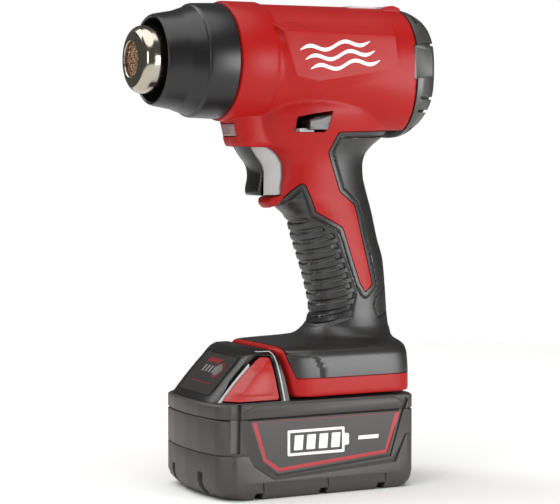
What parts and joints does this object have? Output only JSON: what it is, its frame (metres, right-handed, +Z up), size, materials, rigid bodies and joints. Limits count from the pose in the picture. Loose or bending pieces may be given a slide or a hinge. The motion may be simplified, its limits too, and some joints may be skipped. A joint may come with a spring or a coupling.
{
  "type": "heat gun",
  "caption": "Compact cordless heat gun: steel nozzle in a black heat shield, red clamshell body, dark grip and slide-on battery pack with gauge and latches.",
  "frame": {"origin": "middle of the bottom of the box round the whole object, on the surface the battery pack stands on", "axes": "+Z up, -Y along the nozzle's outlet, +X to the tool's right-hand side"},
  "size_m": [0.0748, 0.164, 0.2533],
  "materials": {
    "red_moulding": "satin moulded",
    "grip_rubber": "matte overmould",
    "cap_moulding": "fine texture",
    "pack_moulding": "fine texture",
    "black_moulding": "satin",
    "gauge_window": "polished",
    "label_film": "satin film",
    "light_moulding": "satin",
    "polished_steel": "polished",
    "steel": "plain",
    "heating_wire": "oxidised wire",
    "mica": "pressed mica",
    "lens": "clear moulding",
    "circuit_board": "solder mask",
    "cell_wrap": "shrink wrap"
  },
  "bodies": {
    "tool": {"housing_left": "red_moulding", "housing_right": "red_moulding", "grip_left": "grip_rubber", "grip_right": "grip_rubber", "rear_cap": "cap_moulding", "dust_screen": "steel", "heat_shield": "black_moulding", "nozzle_tube": "polished_steel", "heater_core": "mica", "heating_coil": "heating_wire", "heater_liner": "mica", "insulating_ring": "mica", "thermal_cutout": "steel", "air_duct": "black_moulding", "motor_can": "steel", "led_lens": "lens", "led_board": "circuit_board", "switch_body": "black_moulding", "trigger_spring": "steel", "control_board": "circuit_board", "terminal_block": "black_moulding", "power_lead_positive": "red_moulding", "power_lead_negative": "black_moulding", "housing_screw_1": "steel", "housing_screw_2": "steel", "housing_screw_3": "steel", "housing_screw_4": "steel", "housing_screw_5": "steel"},
    "trigger": {"trigger": "light_moulding", "trigger_pad": "black_moulding", "switch_plunger": "light_moulding"},
    "trigger_lock": {"lock_shuttle": "black_moulding"},
    "fan": {"motor_shaft": "steel", "fan_impeller": "cap_moulding"},
    "hook": {"hang_hook": "light_moulding"},
    "pack": {"pack_base": "pack_moulding", "pack_cover": "pack_moulding", "pack_head": "black_moulding", "gauge_panel": "gauge_window", "label_left": "label_film", "label_right": "label_film", "pack_board": "circuit_board", "latch_spring_left": "steel", "latch_spring_right": "steel", "cell_01": "cell_wrap", "cell_02": "cell_wrap", "cell_03": "cell_wrap", "cell_04": "cell_wrap", "cell_05": "cell_wrap", "cell_06": "cell_wrap", "cell_07": "cell_wrap", "cell_08": "cell_wrap", "cell_09": "cell_wrap", "cell_10": "cell_wrap"},
    "gauge_button": {"gauge_button": "light_moulding"},
    "latch_left": {"latch_left": "red_moulding"},
    "latch_right": {"latch_right": "red_moulding"}
  },
  "joints": [
    {"name": "trigger_pull", "type": "slide", "parent": "tool", "child": "trigger", "axis": [0, 1, 0], "range_m": [0, 0.007], "stiffness_N_per_m": 300, "springref_m": -0.01, "deforming": ["trigger_spring"]},
    {"name": "lock_slide", "type": "slide", "parent": "tool", "child": "trigger_lock", "axis": [1, 0, 0], "range_m": [-0.003, 0.003]},
    {"name": "fan_spin", "type": "hinge", "parent": "tool", "child": "fan", "pos_m": [0, 0.02, 0.2225], "axis": [0, -1, 0], "continuous": true},
    {"name": "hook_swing", "type": "hinge", "parent": "tool", "child": "hook", "pos_m": [0, 0.0622, 0.2518], "axis": [-1, 0, 0], "range_deg": [0, 105]},
    {"name": "pack_slide", "type": "slide", "parent": "tool", "child": "pack", "axis": [0, -1, 0], "range_m": [0, 0.075]},
    {"name": "gauge_press", "type": "slide", "parent": "pack", "child": "gauge_button", "axis": [0, 0.7355, -0.6775], "range_m": [0, 0.0008], "stiffness_N_per_m": 400, "springref_m": -0.001},
    {"name": "latch_left_press", "type": "slide", "parent": "pack", "child": "latch_left", "axis": [1, 0, 0], "range_m": [0, 0.003], "stiffness_N_per_m": 500, "springref_m": -0.006, "deforming": ["latch_spring_left"]},
    {"name": "latch_right_press", "type": "slide", "parent": "pack", "child": "latch_right", "axis": [-1, 0, 0], "range_m": [0, 0.003], "stiffness_N_per_m": 500, "springref_m": -0.006, "deforming": ["latch_spring_right"]}
  ]
}
